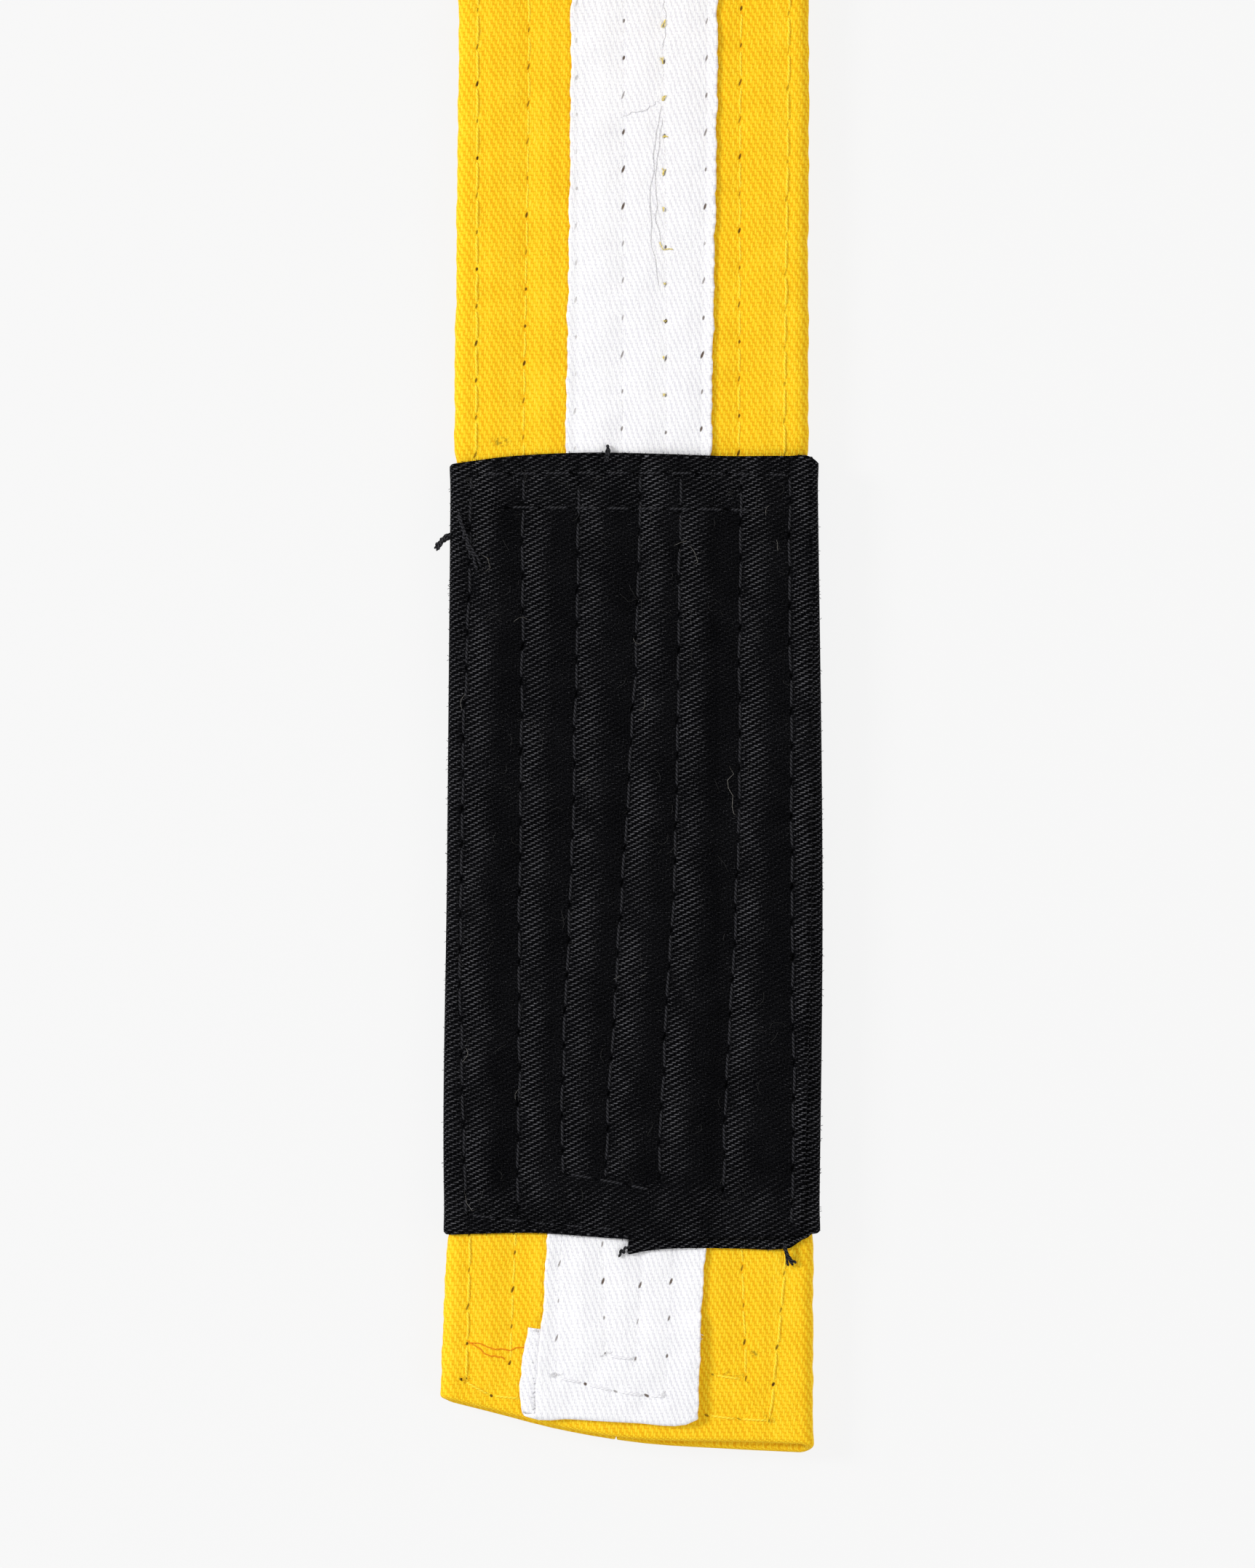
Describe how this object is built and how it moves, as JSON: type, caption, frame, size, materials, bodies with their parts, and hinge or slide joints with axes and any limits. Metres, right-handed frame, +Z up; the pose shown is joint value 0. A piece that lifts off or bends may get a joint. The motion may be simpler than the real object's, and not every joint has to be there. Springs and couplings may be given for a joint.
{
  "type": "martial arts belt",
  "caption": "Stitched cotton grade belt with a centre stripe and a sewn rank bar near its free end; the rest is wound into a roll.",
  "frame": {"origin": "centre of the belt's outline on the surface it lies on", "axes": "+X across the belt, +Y along it from the free tip towards the roll, +Z up"},
  "size_m": [0.048, 0.343, 0.1167],
  "materials": {
    "cover_cloth": "heavy yellow cotton twill",
    "core_cotton": "undyed cotton interlining",
    "stripe_tape": "white cotton twill tape",
    "yellow_thread": "yellow spun sewing thread",
    "white_thread": "white spun sewing thread",
    "rank_bar_cloth": "black cotton twill",
    "black_thread": "black spun sewing thread"
  },
  "bodies": {
    "roll": {"roll_cover": "cover_cloth", "roll_core_back_ply": "core_cotton", "roll_core_middle_ply": "core_cotton", "roll_core_front_ply": "core_cotton", "roll_stripe_front": "stripe_tape", "roll_stripe_back": "stripe_tape", "roll_needle_threads_yellow": "yellow_thread", "roll_needle_threads_white": "white_thread", "roll_bobbin_threads_yellow": "yellow_thread", "roll_bobbin_threads_white": "white_thread", "lead_cover": "cover_cloth", "lead_core_back_ply": "core_cotton", "lead_core_middle_ply": "core_cotton", "lead_core_front_ply": "core_cotton", "lead_stripe_front": "stripe_tape", "lead_stripe_back": "stripe_tape", "lead_needle_threads_yellow": "yellow_thread", "lead_needle_threads_white": "white_thread", "lead_bobbin_threads_yellow": "yellow_thread", "lead_bobbin_threads_white": "white_thread"},
    "strap": {"strap_cover": "cover_cloth", "strap_core_back_ply": "core_cotton", "strap_core_middle_ply": "core_cotton", "strap_core_front_ply": "core_cotton", "strap_stripe_front": "stripe_tape", "strap_stripe_back": "stripe_tape", "strap_needle_threads_yellow": "yellow_thread", "strap_needle_threads_white": "white_thread", "strap_bobbin_threads_yellow": "yellow_thread", "strap_bobbin_threads_white": "white_thread"},
    "tip": {"tip_cover": "cover_cloth", "tip_core_back_ply": "core_cotton", "tip_core_middle_ply": "core_cotton", "tip_core_front_ply": "core_cotton", "tip_stripe_front": "stripe_tape", "tip_stripe_back": "stripe_tape", "tip_needle_threads_yellow": "yellow_thread", "tip_needle_threads_white": "white_thread", "tip_bobbin_threads_yellow": "yellow_thread", "tip_bobbin_threads_white": "white_thread", "tip_closing_threads": "yellow_thread", "stripe_end_threads": "white_thread", "rank_bar_sleeve": "rank_bar_cloth", "rank_bar_needle_threads": "black_thread", "rank_bar_cross_threads": "black_thread", "rank_bar_bobbin_threads": "black_thread", "rank_bar_thread_tails": "black_thread"}
  },
  "joints": [
    {"name": "strap_bend", "type": "hinge", "parent": "roll", "child": "strap", "pos_m": [0, 0.0285, 0.00555], "axis": [-1, 0, 0], "range_deg": [0, 90]},
    {"name": "tip_bend", "type": "hinge", "parent": "strap", "child": "tip", "pos_m": [0, -0.0315, 0.00555], "axis": [-1, 0, 0], "range_deg": [0, 45]}
  ]
}
